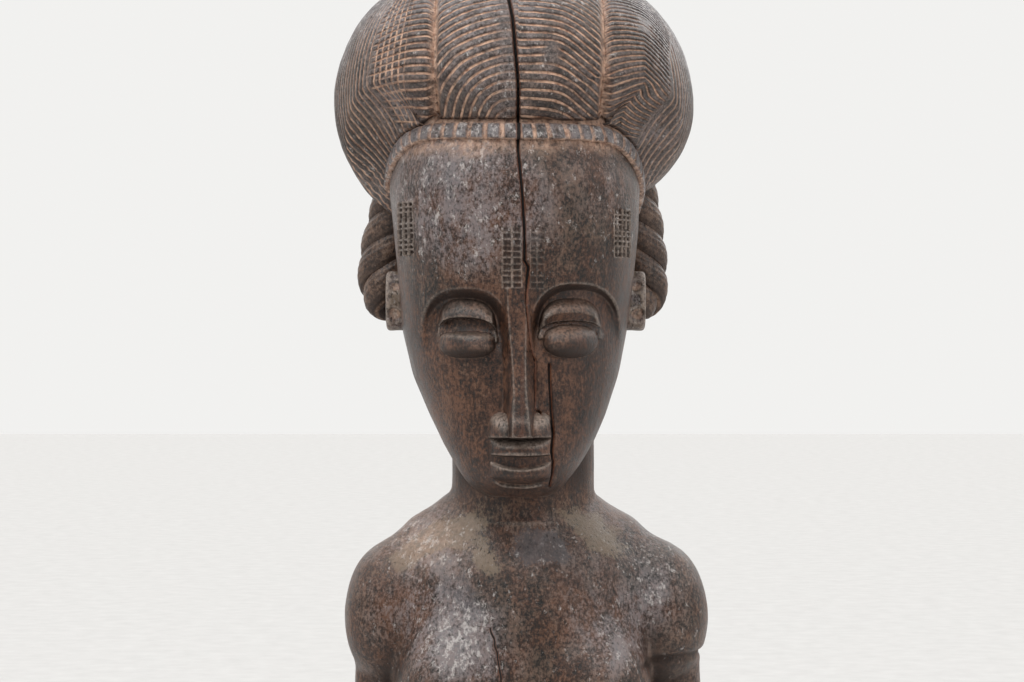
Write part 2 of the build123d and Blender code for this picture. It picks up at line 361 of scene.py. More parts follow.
class Graph:
    """A short hand for building the nodes of a material or a world."""

    def __init__(self, owner):
        owner.use_nodes = True
        self.owner, self.tree = owner, owner.node_tree
        self.shader = next(n for n in self.tree.nodes if n.type in ("BSDF_PRINCIPLED", "BACKGROUND"))
        self.spot = self.add("ShaderNodeTexCoord", {}).outputs

    def add(self, kind, sockets, **settings):
        node = self.tree.nodes.new(kind)
        for key, value in settings.items():
            setattr(node, key, value)
        for key, value in sockets.items():
            if isinstance(value, bpy.types.NodeSocket):
                self.tree.links.new(value, node.inputs[key])
            else:
                node.inputs[key].default_value = value
        return node

    def link(self, name, socket):
        self.tree.links.new(socket, self.shader.inputs[name])

    def mark(self, name):
        return self.add("ShaderNodeAttribute", {}, attribute_name=name).outputs["Fac"]

    def noise(self, size, detail, rough):
        """Noise whose grains are of a size in millimetres, or an (x, y, z) size."""
        scale = tuple(np.broadcast_to(1000.0 / np.array(size), 3))
        vector = self.add("ShaderNodeMapping", {"Vector": self.spot["Object"], "Scale": scale}).outputs[0]
        sockets = {"Vector": vector, "Scale": 1.0, "Detail": detail, "Roughness": rough}
        return self.add("ShaderNodeTexNoise", sockets).outputs["Fac"]

    def math(self, operation, a, b=0.0, c=0.0):
        return self.add("ShaderNodeMath", {0: a, 1: b, 2: c}, operation=operation).outputs[0]

    def fade(self, value, low, high, start=0.0, end=1.0, shape="SMOOTHSTEP"):
        sockets = {"Value": value, "From Min": low, "From Max": high, "To Min": start, "To Max": end}
        return self.add("ShaderNodeMapRange", sockets, interpolation_type=shape).outputs[0]

    def mix(self, share, a, b):
        return self.add("ShaderNodeMix", {0: share, 6: a, 7: b}, data_type="RGBA").outputs[2]

    def around(self, *parts):
        """Adds noises, each swung about its middle and weighted, to one half."""
        total = 0.5
        for value, weight in parts:
            swing = self.math("MULTIPLY", self.math("SUBTRACT", value, 0.5), weight)
            total = self.math("ADD", total, swing)
        return total

    def ramp(self, value, stops):
        node = self.add("ShaderNodeValToRGB", {"Fac": value})
        elements = node.color_ramp.elements
        while len(elements) < len(stops):
            elements.new(0.5)
        for element, (at, colour) in zip(elements, stops):
            element.position, element.color = at, colour
        return node.outputs["Color"]

    def finish(self, colour, rough, height):
        bump = self.add("ShaderNodeBump", {"Height": height, "Strength": 0.6, "Distance": 0.0004})
        self.link("Normal", bump.outputs[0])
        self.link("Base Color", colour)
        self.link("Roughness", rough)
        return self.owner


def aged_wood(name, dark, middle, pale, patina, combed=False):
    """Old oiled wood: brown with a broken grey patina, painted shade in hollows and on undersides, edges
    rubbed bright with painted highlights, and dust caught in the cuts.
    """
    g = Graph(bpy.data.materials.new(name))
    crumb = g.noise((1.0, 1.0, 1.3), 4, 0.75)
    fibre = g.noise((0.8, 0.8, 14), 5, 0.75)
    mottle = g.noise((5, 5, 8), 6, 0.75)
    blotch = g.noise((24, 24, 34), 4, 0.6)
    hollow, bloom = g.mark("hollow"), g.mark("bloom")
    tone = g.around((crumb, 1.9), (fibre, 0.45), (mottle, 1.4), (blotch, 1.0))
    colour = g.ramp(tone, [(0.18, dark), (0.50, middle), (0.80, pale)])
    red = g.fade(g.around((g.noise((8, 8, 22), 6, 0.75), 1.0), (crumb, 0.5)), 0.50, 0.68, 0.0, 0.5)
    colour = g.mix(red, colour, linear(86, 56, 42))

    # The grey patina, bluish where it is thick and laid on in places as a painted sheen, and the worn and
    # slate patches on the chest.
    grey = g.around((g.noise((9, 9, 13), 7, 0.78), 1.3), (crumb, 1.2), (bloom, 0.42))
    bluish = g.fade(g.around((blotch, 0.8), (bloom, 0.8)), 0.45, 0.80)
    veil = g.mix(bluish, linear(110, 91, 77), linear(136, 132, 135))
    colour = g.mix(g.fade(grey, 0.42, 0.78, 0.0, patina), colour, veil)
    broken = g.math("MULTIPLY_ADD", g.around((g.noise((7, 7, 6), 6, 0.75), 1.4), (crumb, 0.7)), 1.2, -0.6)
    patch = g.math("ADD", g.mark("patch"), broken)
    colour = g.mix(g.fade(patch, 0.34, 0.60, 0.0, 0.7), colour, linear(112, 97, 80))
    colour = g.mix(g.fade(patch, -0.60, -0.34, 0.65, 0.0), colour, linear(80, 75, 77))

    # Painted shade in hollows and on undersides, edges rubbed bright with painted highlights, and specks of
    # crust.
    colour = g.mix(g.fade(hollow, 0.12, 0.80, 0.0, 0.85), colour, linear(36, 21, 13))
    edge = g.math("MULTIPLY", g.fade(g.mark("edge"), 0.1, 0.9), g.fade(crumb, 0.38, 0.60, 0.35, 1.0))
    colour = g.mix(g.math("MULTIPLY", edge, 0.6), colour, linear(150, 136, 125))
    crust = g.fade(g.around((g.noise((2.6, 2.6, 3.8), 6, 0.85), 1.0), (bloom, 0.19)), 0.60, 0.68)
    colour = g.mix(g.math("MULTIPLY", crust, 0.6), colour, linear(190, 184, 180))

    # Dust in the cuts and along the comb lines.
    dust = g.math("MULTIPLY", g.mark("dust"), g.fade(g.noise(2.2, 5, 0.75), 0.36, 0.56, 0.2, 1.0))
    height = g.math("MULTIPLY_ADD", fibre, 0.6, g.math("MULTIPLY_ADD", crumb, 0.9, mottle))
    for phase in ("comb", "cross") if combed else ():
        off = g.math("SUBTRACT", 0.5, g.math("PINGPONG", g.math("ADD", g.mark(phase), 200.5), 0.5))
        off = g.math("MULTIPLY_ADD", g.around((crumb, 1.0)), 0.14, off)
        line = g.math("MULTIPLY", g.fade(off, 0.17, 0.25, 1.0, 0.0), g.mark(phase + "_here"))
        line = g.math("MULTIPLY", line, g.fade(g.noise(4, 4, 0.7), 0.36, 0.52, 0.3, 1.0))
        dust = g.math("MAXIMUM", dust, line)
        height = g.math("SUBTRACT", height, line)
    dust_colours = [(0.34, linear(130, 88, 66)), (0.58, linear(216, 180, 156))]
    colour = g.mix(g.math("MULTIPLY", dust, 0.9), colour, g.ramp(g.noise((2, 2, 3), 6, 0.8), dust_colours))

    # Small pits, and the cracks, rusty beside their dark gap.
    pits = g.fade(g.noise((1.1, 1.1, 2.4), 3, 0.6), 0.62, 0.68)
    pits = g.math("MULTIPLY", pits, g.fade(g.noise(26, 3, 0.6), 0.42, 0.56))
    colour = g.mix(g.math("MULTIPLY", pits, 0.8), colour, linear(22, 15, 11))
    away = g.math("MULTIPLY_ADD", g.around((crumb, 1.0)), 0.5, g.math("ABSOLUTE", g.mark("crack")))
    colour = g.mix(g.fade(away, 0.95, 1.45, 0.6, 0.0), colour, linear(110, 62, 38))
    split = g.fade(away, 0.72, 0.98, 1.0, 0.0)
    colour = g.mix(split, colour, linear(12, 7, 5))

    height = g.math("SUBTRACT", g.math("SUBTRACT", height, pits), split)
    rough = g.math("MULTIPLY_ADD", g.around((mottle, 1.0), (crumb, 0.8)), 0.45, 0.14)
    dull = g.math("MAXIMUM", g.math("MAXIMUM", dust, split), hollow)
    g.shader.inputs["Specular IOR Level"].default_value = 0.42
    return g.finish(colour, g.math("MULTIPLY_ADD", dull, 0.4, rough), height)


skin_wood = aged_wood("skin_wood", linear(15, 8, 4), linear(50, 28, 16), linear(92, 61, 43), 0.5)
hair_wood = aged_wood("hair_wood", linear(22, 16, 14), linear(50, 38, 34), linear(95, 80, 74), 0.42, True)
plait_wood = aged_wood("plait_wood", linear(28, 18, 12), linear(68, 48, 37), linear(108, 86, 71), 0.25)
cloth_wood = aged_wood("wrapper_wood", linear(24, 16, 12), linear(50, 35, 27), linear(82, 66, 57), 0.45)
base_wood = aged_wood("base_wood", linear(22, 15, 11), linear(44, 31, 24), linear(74, 59, 50), 0.4)


# ---- head ----
head_shape = Sections(
    [
        (431.0, -3.0, 2.2, -34.0, -26.0),
        (433.2, -7.6, 8.2, -37.5, -22.0),
        (434.7, -10.8, 10.8, -40.5, -19.0),
        (437.3, -15.4, 13.9, -44.2, -15.0),
        (439.5, -17.8, 16.0, -46.0, -11.0),
        (445.1, -21.6, 20.4, -47.5, -1.0),
        (453.0, -26.2, 25.5, -47.5, 12.0),
        (462.5, -31.0, 29.9, -47.0, 24.0),
        (475.6, -36.7, 34.4, -46.5, 36.0),
        (491.2, -40.6, 37.6, -46.5, 43.0),
        (512.0, -42.2, 40.1, -49.0, 47.0),
        (525.0, -43.6, 41.4, -51.5, 49.0),
        (540.2, -45.2, 42.0, -51.5, 50.0),
        (556.0, -43.6, 40.5, -47.5, 49.0),
        (575.0, -35.0, 33.0, -37.0, 42.0),
    ],
    blur=1.6,
)


def in_layout(x, z):
    """A place on the head in the face's own layout."""
    return (x - VIEW_X) / DRAW_IN + VIEW_X, (z - EYE_LEVEL) / DRAW_IN + EYE_LEVEL


# For each eye the middle, radii and softness of its socket; the middle, half length, bow, tilt, ridge and
# dome of its lid; and the middle, radii and upper roundness of its ball.
EYES = (
    (
        (-19.5, 490.0, 15.5, 15.8, 0.16),
        (-18.3, 489.6, 10.4, 5.8, -0.6, 0.3, 6.6),
        (-18.4, 486.0, 10.0, 4.8, 5.0),
    ),
    (
        (20.5, 490.0, 16.0, 17.4, 0.07),
        (18.3, 489.8, 11.2, 4.5, 0.2, 3.2, 5.0),
        (18.3, 487.3, 9.9, 5.9, 2.6),
    ),
)


def eye_relief(x, z, socket, lid, ball):
    """Socket, upper lid with its ridge and swelling, and rounded eyeball of one eye."""
    mx, mz, rx, rz, soft = socket
    q = (np.abs((x - mx) / rx) ** 2.5 + np.abs((z - mz) / rz) ** 2.5) ** 0.4
    relief = -(1.0 - smooth(0.94 - soft, 1.03, q)) * 4.8 * smooth(479.0, 501.0, z)
    mx, mz, half, bow, tilt, ridge, dome = lid
    off = (x - mx) / half
    arch = np.clip(1.0 - np.abs(off) ** 2.8, 0.0, 1.0) ** (1 / 2.2)
    over = z - mz - bow * arch - tilt * off
    lean = np.clip(over / (ridge * arch + 0.05), 0.0, 1.0)
    fall = np.clip((over - ridge * arch) / (dome * (0.4 + 0.6 * arch)), 0.0, 1.0)
    lid = smooth(-0.2, 0.25, over) * (2.7 + 2.2 * lean) * (1.0 - fall**2) * smooth(1.05, 0.82, np.abs(off))
    mx, mz, rx, rz, upper = ball
    q = (np.abs((x - mx) / rx) ** 2.4 + np.abs((z - mz) / rz) ** np.where(z > mz, upper, 2.0)) ** (1 / 2.4)
    ball = 6.6 * np.sqrt(np.clip(1.0 - q**2, 0.0, 1.0))
    ring = np.hypot((x - mx) / (rx + 1.6), (z - mz) / (rz + 2.4))
    groove = -1.8 * (1.0 - smooth(0.93, 1.05, ring)) * smooth(1.0, 3.0, mz - z)
    slit = 1.3 * smooth(0.3, -0.3, over) * smooth(0.0, 1.5, z - mz) * smooth(1.12, 0.96, np.abs(off))
    return relief + np.maximum(lid, np.where(ball > 0.0, np.maximum(ball - 0.3, groove), groove + slit))


def nose_relief(x, z):
    """The bridge, rising towards the tip, and a cushion on either side for the wings."""
    along = np.clip((507.0 - z) / 53.0, 0.0, 1.0)
    half = 3.2 - 1.0 * smooth(0.1, 0.6, along) + 0.8 * smooth(0.7, 1.0, along)
    slant = 1.8 + 1.9 * smooth(0.0, 0.6, along)
    side = np.clip((half + slant - np.abs(x + 0.9 - 1.7 * along)) / slant, 0.0, 1.0)
    rise = 1.2 + 9.2 * along - 1.2 * smooth(0.9, 1.02, along)
    nose = rise * (0.6 * side + 0.4 * smooth(0.0, 1.0, side)) * (1.0 - smooth(504.0, 514.0, z))
    wing = np.abs((np.abs(x - 0.6) - 6.4) / 4.9) ** 2.6 + np.abs((z - 455.2) / 7.0) ** 2.6
    wing = 6.6 * np.clip(1.0 - wing, 0.0, 1.0) ** 0.5
    return np.maximum(nose, wing) * smooth(453.0, 453.9, z)


def mouth_relief(x, z):
    """Two full lips, the groove under them and the edge of the chin."""
    x = x - 0.7
    off = x / 10.9
    width = np.clip(1.0 - np.abs(off) ** 3.2, 0.0, 1.0) ** 0.75
    bulge = np.clip(1.0 - ((z - 448.9) / 4.0) ** 2, 0.0, 1.0)
    upper = smooth(446.7, 447.4, z - 0.5 * off**2) * 4.4 * np.sqrt(bulge)
    brim = 442.6 + 2.4 * off**2
    bulge = np.clip(1.0 - ((brim - z - 2.2) / 3.2) ** 2, 0.0, 1.0)
    lower = smooth(-0.4, 0.5, brim - z) * 4.2 * np.sqrt(bulge)
    between = 0.8 * smooth(441.0, 443.0, z) * smooth(449.0, 447.0, z)
    groove = 1.5 * bell(z, 436.9 + 0.012 * x**2, 1.1) * (1.0 - smooth(6.0, 9.5, np.abs(x)))
    chin = 0.8 * bell(z, 435.9 + 0.02 * x**2, 0.9) * (1.0 - smooth(7.0, 10.0, np.abs(x + 0.7)))
    return width * (upper + lower + between) - groove + chin


def face_relief(x, z):
    """How far the face's details stand out of the plain head, in millimetres."""
    x, z = in_layout(x, z)
    muzzle = 1.6 * (1.0 - smooth(0.3, 1.0, np.hypot((x - 0.7) / 21.0, (z - 447.0) / 15.0)))
    return muzzle + nose_relief(x, z) + mouth_relief(x, z) + sum(eye_relief(x, z, *eye) for eye in EYES)


def head_field(x, y, z):
    forward = 1.0 - smooth(-30.0, -12.0, y)
    body = head_shape.distance(x, y + face_relief(x, z) * forward, z)
    return -join(-body, z - 434.9, 1.2)


def nearest_split(x, z):
    """Signed sideways distance to the nearer of the two cracks, far away where neither runs."""
    main = (x - route(MAIN_CRACK, z)) * np.where(z < 500.0, 1.8, 1.0)
    main = np.where(z > 461.5, main, FAR)
    cheek = (x - route(CHEEK_CRACK, z)) / 0.75
    cheek = np.where((z > 435.5) & (z < 479.6), cheek, FAR)
    return 1.35 * np.where(np.abs(cheek) < np.abs(main), cheek, main)


# Scar blocks, as (left, right, low, high, columns, rows, strength) in the face's own layout.
SCARS = (
    (-6.0, 1.0, 505.7, 527.3, 2, 10, 0.6),
    (3.9, 8.8, 505.7, 527.3, 2, 10, 0.4),
    (-43.2, -37.4, 518.0, 537.0, 3, 10, 1.0),
    (33.6, 39.8, 517.2, 534.2, 4, 9, 0.9),
)


def scar_block(x, z, left, right, low, high, columns, rows, strength):
    """Sunk square cells in columns and rows, and the lines left standing between them."""
    u, v = (x - left) / (right - left) * columns, (z - low) / (high - low) * rows
    here, cell = strength, 1.0
    for at, count in ((u, columns), (v, rows)):
        here = here * smooth(-0.2, 0.1, at) * smooth(-0.2, 0.1, count - at)
        cell = cell * smooth(0.05, 0.18, 0.5 - np.abs(at - np.floor(at) - 0.5))
    return here * cell, here * (1.0 - cell)


def make_head():
    """Head and face, with the cracks, the scar blocks, and painted shade and highlights, the eyes' shading
    among them.
    """
    xs = np.arange(-49.0, 47.0, 0.42 * COARSE)
    ys = np.concatenate([np.arange(-64.0, -38.0, 0.5 * COARSE), np.arange(-38.0, 53.0, 1.3 * COARSE)])
    zs = np.concatenate([np.arange(430.5, 506.0, 0.4 * COARSE), np.arange(506.0, 566.0, 0.55 * COARSE)])
    p, quads, out, rough = carve(head_field, xs, ys, zs)
    x, y, z = p.T
    fx, fz = in_layout(x, z)
    wobble = 0.12 * waves(p, 7)
    blocks = [scar_block(fx + wobble, fz + wobble, *block) for block in SCARS]
    cuts, raised = (np.maximum.reduce(part) for part in zip(*blocks))
    split = nearest_split(fx + 0.25 * chips(p, (3, 3, 6)), fz)

    # Painted shade: darker in hollows, in the sunk scar cells, on downward faces and on the lower half of
    # each eyeball.
    hollow = 0.75 * hollowness(head_field, p, out, 5.0) + 0.25 * hollowness(head_field, p, out, 1.6)
    hollow = np.clip(0.8 * hollow + cuts + 0.5 * smooth(0.2, 0.8, -out[:, 2]), 0.0, 1.0)
    for *_, (bx, bz, brx, brz, _) in EYES:
        ball = smooth(1.05, 0.85, np.hypot((fx - bx) / brx, (fz - bz) / brz))
        hollow = np.clip(hollow + 0.5 * ball * smooth(1.0, -2.5, fz - bz), 0.0, 1.0)
    # Painted highlight on the upward faces in the middle of the face below the brow, added to the rubbed
    # edges and scar ridges.
    lit = smooth(0.1, 0.6, out[:, 2]) * (np.abs(x + 1.0) < 31.0) * (z < 502.0)
    edge = np.clip(rough / 0.22, 0.0, 0.7) + 1.3 * raised + (0.3 + 0.4 * (z < 476.0)) * lit
    dust = 0.14 * smooth(0.08, 0.25, -rough)

    lift = 0.6 * raised - 0.65 * cuts - 1.5 * bell(split, 0.0, 0.7) * (y < -20)
    lift = lift + 0.12 * waves(p, (9, 9, 14)) + 0.05 * chips(p, (3, 3, 6))
    p = p + out * lift[:, None]
    dust = np.maximum(dust, 0.7 * smooth(548.0, 556.0, z + 3.0 * waves(p, 9)) * (y < 0))
    seam = (np.abs(fx - 1.2) < 0.9) & (fz > 454.0) & (fz < 480.0) & (np.abs(split) > 2.0)
    # Grey patina thicker higher up the head; thinner on the right as painted shade, and thicker on the left
    # (below) as painted light, for the light from the left.
    bloom = 0.08 + 0.63 * smooth(492.0, 524.0, z) - 0.10 * smooth(4.0, 16.0, x)
    marks = {
        "hollow": hollow,
        "edge": edge,
        "dust": dust,
        "crack": np.where(y < -15, np.where(seam, 1.05, split), FAR),
        "bloom": bloom + 0.12 * (np.abs(x + 22.0) < 12.0),
    }
    build("head_skin", *cap_open(p, quads, marks, (0.0, 8.0, 530.0)), skin_wood, ["head"])


# ---- ears ----
def make_ear(name, side, outer, node):
    """A block with a scooped outer face and a notched front; outer is how far out it reaches."""

    def field(x, y, z):
        out = x * side
        disc = 7.4 * (np.hypot((y - 3.0) / 7.4, (z - 501.4) / 10.4) - 1.0)
        slab = np.maximum(out - outer, 34.0 - out)
        solid = -join(-disc, -slab, 1.6)
        scoop = ellipsoid(out, y, z, (outer + 1.2, 3.8, 501.6), (4.4, 4.2, 7.2))
        solid = -join(-solid, scoop, 0.8)
        low = ellipsoid(out, y, z, (outer - 2.6, -4.6, 495.4), (3.6, 2.8, 3.6))
        high = ellipsoid(out, y, z, (outer - 3.4, -5.2, 507.4), (4.0, 3.0, 3.2))
        return -join(-solid, join(low, high, 0.5), 0.6)

    cell = 0.45 * COARSE
    xs = side * np.arange(32.5, 48.5, cell)[::side]
    p, quads, out, rough = carve(field, xs, np.arange(-6.5, 12.5, cell), np.arange(489.0, 514.0, cell))
    p = p + out * (0.12 * chips(p, (3, 3, 5)))[:, None]
    # Painted shade in the scoop and notches.
    marks = {
        "hollow": hollowness(field, p, out, 3.0),
        "edge": np.clip(rough / 0.08, 0.0, 1.0),
        "dust": smooth(0.02, 0.10, -rough) * 0.6,
        "bloom": 0.75,
        "patch": 0.45,
    }
    build(name, p, quads, NO_TRIS, marks, skin_wood, [node])


# ---- coiffure ----
def ring_angles(count):
    """Angles round a roll from -180 to 180 degrees, closest together where it shows from the front."""
    a = np.linspace(-180.0, 180.0, 4001)
    weight = 1.0 + 2.6 * smooth(-50, -30, a) * smooth(105, 75, a) + 0.9 * smooth(80, 110, a)
    weight = weight - 0.6 * smooth(-150, -120, a) * smooth(-45, -65, a)
    total = np.concatenate([[0.0], np.cumsum((weight[1:] + weight[:-1]) / 2)])
    return np.interp(np.arange(count) / count * total[-1], total, a)


def roll_points(x, angle, depth, up, down, level):
    """Points of a roll at sideways positions x and angles about the left-right axis, 0 at the front."""
    a = np.radians(angle)
    rise = np.where(np.sin(a)[None, :] > 0, up[:, None], down[:, None])
    y = HAIR_Y - depth[:, None] * np.cos(a)[None, :]
    z = level + rise * np.sin(a)[None, :]
    return np.stack([np.broadcast_to(x[:, None], y.shape), y, z], 2)


# Heights of the hairline and of the notched band below it, at degrees from the front.
hair_line = curve(
    [
        (0, 560.9), (30, 561.2), (45, 560.4), (58, 558), (68, 554),
        (80, 547), (90, 540), (105, 530), (116, 522), (128, 490),
    ],
    4.0,
)
band_line = curve(
    [
        (0, 557.2), (30, 557.6), (45, 557.2), (58, 554.8), (68, 551.2),
        (80, 546.4), (90, 542.4), (105, 534.5), (116, 528),
    ],
    4.0,
)


def tuck(p):
    """Slopes a roll in to the hairline, and draws in behind it what would hang over the face."""
    x, y, z = p[..., 0], p[..., 1], p[..., 2]
    mx, my, rx, ry = head_shape.shape(z)
    u, v = (x - mx) / rx, (y - my) / ry
    over = z - hair_line(np.degrees(np.arctan2(np.abs(u), -v)))
    size = (np.abs(u) ** 2.3 + np.abs(v) ** 2.3) ** (1 / 2.3)
    rise = np.clip(over, 0.0, 60.0)
    cap = 0.92 + 0.11 * smooth(-1.0, 0.9, over) + 0.0225 * rise + 0.0009 * rise**2
    share = join(size, cap, 0.05) / np.maximum(size, 0.1)
    target = size * share
    aside = smooth(0.72, 0.95, np.abs(u) / np.maximum(target, 0.1))
    straight = np.sign(v) * np.clip(target**2.3 - np.abs(u) ** 2.3, 0.0, None) ** (1 / 2.3)
    v = straight + (v * share - straight) * aside
    u = u * (1.0 - aside * (1.0 - share))
    # shut marks what is drawn in under the hairline; the roll paints shade there and leaves out its comb
    # lines.
    shut = smooth(1.2, -0.6, over) * (size > 0.9)
    return np.stack([mx + u * rx, my + v * ry, z], 2), shut


def line_of(phase):
    """Distance from the nearest comb line, in line spacings, where the lines lie at whole numbers."""
    return np.abs(phase - np.round(phase))


def cut_of(phase, width=0.26):
    """1 along the middle of each comb line and 0 between the lines."""
    return 1.0 - smooth(0.06, width, line_of(phase))


def finish_roll(name, node, p, angle, from_parting, comb, comb_here, cross=0.0, cross_here=0.0, split=FAR):
    """Cuts the comb lines, partings and crack into a roll and closes its ends."""
    p, shut = tuck(p)
    comb_here, cross_here = comb_here * (1.0 - shut), cross_here * (1.0 - shut)
    out = grid_out(p)
    middle = p.shape[0] // 2, p.shape[1] // 2
    inward = out[middle] @ (p[middle] - p.mean((0, 1))) < 0
    out = -out if inward else out
    valley = bell(from_parting, 0.0, 1.5)
    away = split * 1.35
    lift = 0.35 * waves(p, 16) + 0.10 * chips(p, 3)
    lift = lift + 0.7 * smooth(0.0, 9.0, from_parting) - 0.7 - 2.4 * valley
    lift = lift - np.maximum(0.65 * comb_here * cut_of(comb), 0.55 * cross_here * cut_of(cross))
    lift = lift - 2.4 * bell(away, 0.0, 0.75)
    upward = np.sin(np.radians(angle))
    # Painted shade on downward faces and over what is tucked in at the hairline; the grey patina thicker on
    # upward faces as a painted sheen.
    marks = {
        "hollow": np.maximum(0.28 * smooth(-0.05, -0.75, upward), shut),
        "edge": smooth(0.26, 0.42, line_of(comb)) * comb_here * 0.16,
        "dust": np.clip(1.1 * valley - 0.1, 0.0, 1.0),
        "comb": comb,
        "comb_here": comb_here,
        "cross": cross,
        "cross_here": cross_here,
        "crack": away,
        "bloom": 0.62 + 0.3 * smooth(0.3, 1.0, upward),
    }
    build(name, *tube(p + out * lift[..., None], marks, inward), hair_wood, [node], "hair_wood")


def arc_from(angle, depth, rise, start):
    """Distance along a roll's round from the start angle, forward angles positive."""
    a = np.radians(np.linspace(-180.0, 270.0, 3601))
    step = np.hypot(depth * np.sin(a), rise * np.cos(a)) * (a[1] - a[0])
    total = np.cumsum(step)
    angle = np.where(angle < -100.0, angle + 360.0, angle)
    return np.interp(np.radians(angle), a, total) - np.interp(math.radians(start), a, total)


def make_middle_roll():
    """The roll between the partings, with the long crack through it."""
    wide, near_crack = 0.5 * COARSE, np.arange(-6.5, 3.0, 0.3 * COARSE)
    x = [np.arange(-PART_X, -6.5, wide), near_crack, np.arange(3.0, PART_X, wide), [PART_X]]
    x = np.concatenate(x)
    angle = ring_angles(int(640 / COARSE))
    depth, rise = 65.2 - 1.8 * (x / PART_X) ** 2, 48.3 - 4.0 * (x / PART_X) ** 2
    p = roll_points(x, angle, depth, rise, rise, 572.0)
    s = arc_from(angle, 65.0, 48.0, -15.0)
    u = (x + 0.4)[:, None] * 1.04
    wander = waves(p, 11)

    # Arches about a foot low on the left, and lines that bend down to the parting on the right.
    left = np.hypot(np.minimum(u + 2.2, 0.0), s + 0.8) / 3.05
    right = (s + 0.42 * (np.hypot(u - 16.0, 4.5) + u - 16.0) + 0.02 * u) / 2.95
    comb = np.where(u < 0, left, right) + 0.22 * wander
    from_parting = (PART_X - np.abs(x))[:, None]
    here = smooth(0.3, 1.6, s) * smooth(0.5, 2.4, from_parting) * smooth(-0.75, -0.35, wander + 0.1)
    here = here * (1.0 - 0.75 * smooth(-9.0, -5.0, u) * smooth(1.0, -1.5, u))
    split = x[:, None] - route(MAIN_CRACK, p[..., 2]) + 0.2 * wander
    split = np.where((angle > -40) & (angle < 96), split, FAR)
    finish_roll("hair_middle", "hair_roll_middle", p, angle, from_parting, comb, here, split=split)


def make_side_roll(name, node, side, middle, radius, level, up, down):
    """A roll that narrows to a pole at the side; up and down stretch its height."""
    start = math.asin((PART_X - side * middle) / radius)
    turn = np.linspace(start, math.radians(88.5), int(140 / COARSE))
    rise = radius * np.cos(turn)
    angle = ring_angles(int(620 / COARSE))
    x = middle + side * radius * np.sin(turn)
    p = roll_points(x, angle, rise * 1.42, rise * up, rise * down, level)
    s = arc_from(angle, 63.0, 44.0, -15.0)
    a = (radius * (turn - start))[:, None]
    wander = waves(p + 40.0, 12)

    # How far out from the parting, measured so that the long lines follow the roll's outline.
    level_off = (p[..., 2] - level) / np.where(p[..., 2] > level, up, down) / radius
    widest = radius * np.sqrt(np.clip(1.0 - level_off**2, 0.02, 1.0))
    inner = radius * math.sin(start)
    share = np.clip((radius * np.sin(turn)[:, None] - inner) / (widest - inner + 0.5), 0, 1)
    along = radius * (np.arcsin(np.clip(math.sin(start) + (1 - math.sin(start)) * share, 0, 1)) - start)
    long_lines = along / 2.1 + 0.16 * wander
    if side < 0:
        lattice = smooth(9.5, 10.5, along) * smooth(25.0, 23.5, along)
        lattice = lattice * smooth(-9.0, -6.0, s) * smooth(66.0, 58.0, s)
        comb = (s + 0.10 * np.clip(a - 11.0, 0.0, 99.0)) / 2.75 + 0.22 * wander
        here = np.maximum(smooth(11.2, 10.2, a) * smooth(-9.0, -7.0, s), lattice)
        cross = np.where(along < 24.5, along / 2.45 + 0.10 * wander, long_lines)
        above = smooth(60.0, 66.0, s) * smooth(11.0, 12.5, along)
        below = smooth(-6.0, -9.0, s) * smooth(4.0, 6.0, along)
        cross_here = np.maximum.reduce([lattice, 0.8 * smooth(24.0, 25.5, along), above, below])
    else:
        high = smooth(18.0, 45.0, s)
        fall = 6.3 - 2.2 * high - (0.72 - 0.42 * high) * (a - 15.0)
        bend = np.where(a < 15.0, 0.42 * a * (1.0 - 0.35 * high), fall)
        bend = bend - 0.012 * high * np.clip(a - 15.0, 0, 99) ** 2
        comb = (s - bend) / 2.45 + 0.16 * wander
        reach = 27.5 + 9.0 * smooth(25.0, 60.0, s) - 1.5 * wander
        here = smooth(reach, reach - 1.5, along) * smooth(-14.0, -10.0, s)
        cross = long_lines
        cross_here = 0.6 * smooth(reach - 0.5, reach + 1.5, along)
    here = here * smooth(0.4, 1.8, a) * smooth(-0.85, -0.45, wander + 0.12 * np.cos(s))
    cross_here = 0.85 * cross_here * smooth(1.5, 3.5, radius * (math.pi / 2 - start) - along)
    finish_roll(name, node, p, angle, a, comb, here, cross, cross_here)


def make_band():
    """The notched band along the hairline, from ear to ear over the forehead."""
    per_degree = 0.72  # millimetres round the head for each degree
    angle = np.linspace(-112.0, 112.0, int(900 / COARSE))[:, None]
    around = np.radians(np.linspace(0.0, 360.0, 40, endpoint=False))
    c, s = np.cos(around), np.sin(around)
    mid = band_line(np.abs(angle)) - 0.01 * angle
    across = 2.9 * np.sign(c) * np.abs(c) ** 0.6
    proud = np.where(s > 0, 2.2 * np.abs(s) ** 0.55, -2.5 * np.abs(s) ** 0.6)
    slant = np.gradient(mid, axis=0) / (np.gradient(angle, axis=0) * per_degree)
    z = mid + across / np.sqrt(1 + slant**2)
    x, y = head_shape.point(angle - across * slant / np.sqrt(1 + slant**2) / per_degree, z)
    base = np.stack([x, y, z], 2)
    mx, my, _, _ = head_shape.shape(z)
    out = unit(np.stack([x - mx, (y - my) * 0.8, 0 * z], 2))
    line = np.cumsum(np.linalg.norm(np.diff(base[:, 0], axis=0, prepend=base[:1, 0]), axis=1))[:, None]
    wander = waves(base, 9)
    notch = line_of(line / 5.0 + 0.18 * wander + 0.02 * across)
    cut = 1.0 - smooth(0.08, 0.20, notch)
    lift = proud - cut * (s > 0) + 0.25 * wander
    # Painted shade along both edges of the band.
    marks = {
        "hollow": 0.5 * (np.abs(across) > 2.4),
        "edge": smooth(0.22, 0.3, notch) * 0.25,
        "dust": np.maximum(cut * 0.9, 0.7 * smooth(2.2, 2.8, np.abs(across))),
        "crack": np.where(np.abs(angle) < 40, x + 0.25, FAR),
        "bloom": 0.9,
    }
    parts = tube(base + out * lift[..., None], marks, True)
    build("hairline_notches", *parts, hair_wood, ["hairline_band"], "hair_wood")


